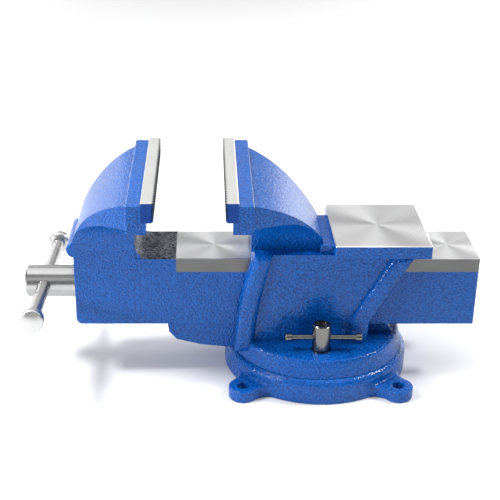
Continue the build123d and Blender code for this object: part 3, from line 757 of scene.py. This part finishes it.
bar_long = HANDLE_FAR - HANDLE_NEAR - 2 * CAP_LONG + 2 * BAR_OVERLAP
bar_start = np.array(handle_seat) + (HANDLE_NEAR + CAP_LONG - BAR_OVERLAP) * np.array(handle_axis)
bar = turned(
    "handle_rod", [0, bar_long / 2, bar_long], [HANDLE_BAR_R] * 3, bar_start, handle_axis, polished_bar,
    "handle",
)
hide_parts("handle_bar")
cap_along, cap_radius = crowned_profile(CAP_LONG, CAP_R, ROLL, CROWN)
for name, node, reach, side in (
    ("cap_near", "handle_cap_near", HANDLE_NEAR + CAP_LONG, -1),
    ("cap_far", "handle_cap_far", HANDLE_FAR - CAP_LONG, 1),
):
    root = np.array(handle_seat) + reach * np.array(handle_axis)
    outward = tuple(side * part for part in handle_axis)
    cap = turned(name, cap_along, cap_radius, root, outward, cap_steel, "handle")
    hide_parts(node)
print("handle length, mm", round(HANDLE_FAR - HANDLE_NEAR, 1))

# %% [markdown]
# Each swivel lock is a tall nickel-plated nut with a bar through it. The nut keeps its exact CAD
# shape with its edges broken, and a ring of real thread lines the open top.

# %% Swivel locks

LOCK_Y = 51.0
LOCK_BAR_Z = 48.0
LOCK_SHIFT = 1.6
LOCK_HALF = 31.5
LOCK_CAP_LONG = 6.0
LOCK_BAR_R = 2.15
NUT_THREAD_Z = (50.6, 59.4)


def nut_thread(name, y, bottom, top, body):
    """Lining whose inner radius follows a fine helix; its outer radius is just inside the bore."""
    pitch, crest, root, outer = 1.5, 4.35, 4.95, 5.07
    height = np.linspace(bottom, top, int((top - bottom) / pitch * 8))
    turn = np.linspace(0, 2 * np.pi, 48)
    phase = height[None, :] / pitch - turn[:, None] / (2 * np.pi)
    inner = root - (root - crest) * triangle_wave(phase)
    loop_r = np.concatenate([inner, np.full((len(turn), 2), outer)], axis=1)
    ends_z = np.tile([top, bottom], (len(turn), 1))
    loop_z = np.concatenate([np.broadcast_to(height, inner.shape), ends_z], axis=1)
    x = loop_r * np.cos(turn)[:, None]
    rings = np.stack([x, y + loop_r * np.sin(turn)[:, None], loop_z], axis=-1)
    return skin(name, rings, black_oxide, body, ends=False)


lock_along, lock_radius = crowned_profile(LOCK_CAP_LONG, 3.25, 0.8, 0.5)
for side_name, side in (("near", -1), ("far", 1)):
    y = side * LOCK_Y
    nut = rounded_copy("lock_nut_" + side_name, "nut_" + side_name, [], one_finish, [nickel], 0.25)
    nut_thread("nut_thread_" + side_name, y, *NUT_THREAD_Z, "nut_" + side_name)
    reach = LOCK_HALF - LOCK_CAP_LONG
    rod = turned(
        "lock_rod_" + side_name, [0, reach, 2 * reach + 1], [LOCK_BAR_R] * 3,
        (LOCK_SHIFT - reach - 0.5, y, LOCK_BAR_Z), (1, 0, 0), nickel, "bar_" + side_name,
        sides=32,
    )
    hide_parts("lock_bar_" + side_name)
    for end_name, end in (("front", -1), ("rear", 1)):
        start = (LOCK_SHIFT + end * reach, y, LOCK_BAR_Z)
        cap = turned(
            "lock_end_" + side_name + "_" + end_name, lock_along, lock_radius, start, (end, 0, 0), nickel,
            "bar_" + side_name, sides=32,
        )
        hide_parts("lock_cap_" + side_name + "_" + end_name)
print("swivel locks done")

# %% [markdown]
# The hidden hardware keeps its CAD shape, because it is already true, and only needs its finish.

# %% Finishes on the CAD pieces that stay

finish_of = {"lead_nut": raw_iron, "thrust_spring": spring_wire}
finish_of.update({"lock_washer_near": nickel, "lock_washer_far": nickel})
for node, piece in nodes.items():
    piece.data.materials.clear()
    piece.data.materials.append(finish_of.get(node, black_oxide))
print("finished CAD pieces", sum(not piece.hide_render for piece in nodes.values()))

# %% [markdown]
# A product picture of glossy metal is mostly a picture of its lights. A broad light above fills the
# shapes. The panel behind is what the flat steel tops mirror, and the two low ones behind it, left
# and right, are what the curved wings mirror. Small bright panels at the sides put the glints on
# the ring, the ribs and the round steel, and a dim wide one in front keeps the near sides from
# going dark. A lit sky would be simpler, but each panel can be aimed at the face that mirrors it.

# %% Floor and lights


def floor():
    """Large pale plane at the height of the base's underside."""
    mesh = bpy.data.meshes.new("floor")
    half = 6.0
    corners = [(-half, -half, 0), (half, -half, 0), (half, half, 0), (-half, half, 0)]
    mesh.from_pydata(corners, [], [(0, 1, 2, 3)])
    g = Graph("pale_floor")
    mesh.materials.append(g.finish(Base_Color=(0.86, 0.86, 0.86, 1), Roughness=0.9, Specular_IOR_Level=0.1))
    plane = bpy.data.objects.new("floor", mesh)
    bpy.context.scene.collection.objects.link(plane)


def panel(name, place, target, width, height, power):
    """Rectangular light that faces a point."""
    light = bpy.data.lights.new(name, "AREA")
    light.shape = "RECTANGLE"
    light.size, light.size_y, light.energy = width, height, power
    lamp = bpy.data.objects.new(name, light)
    lamp.location = place
    lamp.rotation_euler = (Vector(target) - Vector(place)).to_track_quat("-Z", "Y").to_euler()
    bpy.context.scene.collection.objects.link(lamp)


floor()
MIDDLE = (-0.05, 0, 0.09)
PANELS = (
    ("above", (0.0, 0.2, 1.5), 2.2, 1.6, 16),
    ("behind", (-0.05, 1.8, 0.98), 2.4, 0.9, 5.5),
    ("back_left", (-1.0, 1.3, 0.25), 1.2, 0.5, 3.0),
    ("back_right", (1.0, 1.3, 0.25), 1.2, 0.5, 6.5),
    ("left", (-0.85, -0.1, 1.1), 0.3, 0.2, 13),
    ("right", (0.95, 0.05, 1.05), 0.28, 0.2, 12),
    ("low_left", (-1.07, -0.56, 0.41), 0.3, 0.2, 7.5),
    ("front", (-0.2, -1.5, 1.15), 1.5, 0.7, 2.2),
)
for name, place, width, height, power in PANELS:
    panel(name, place, MIDDLE, width, height, power)
world = bpy.data.worlds.new("studio")
world.use_nodes = True
world.node_tree.nodes["Background"].inputs["Color"].default_value = (1, 1, 1, 1)
world.node_tree.nodes["Background"].inputs["Strength"].default_value = 0.18
bpy.context.scene.world = world
bpy.context.scene.view_settings.view_transform = "Standard"
print("lights", len(bpy.data.lights))

# %% [markdown]
# The camera stands well back with a long lens, looking down by about 25 degrees, which keeps the
# jaws nearly parallel. Its frame is shifted so that the vise sits in the middle.

# %% Camera

lens = bpy.data.cameras.new("camera")
lens.lens = 78.88
lens.sensor_width = 36.0
lens.shift_x = 0.0879
lens.clip_end = 50.0
camera = bpy.data.objects.new("camera", lens)
camera.location = (-0.0933, -0.8243, 0.4852)
camera.rotation_euler = (math.radians(90 - 24.94), 0, 0)
bpy.context.scene.collection.objects.link(camera)
bpy.context.scene.camera = camera
print("camera at", tuple(round(value, 3) for value in camera.location))
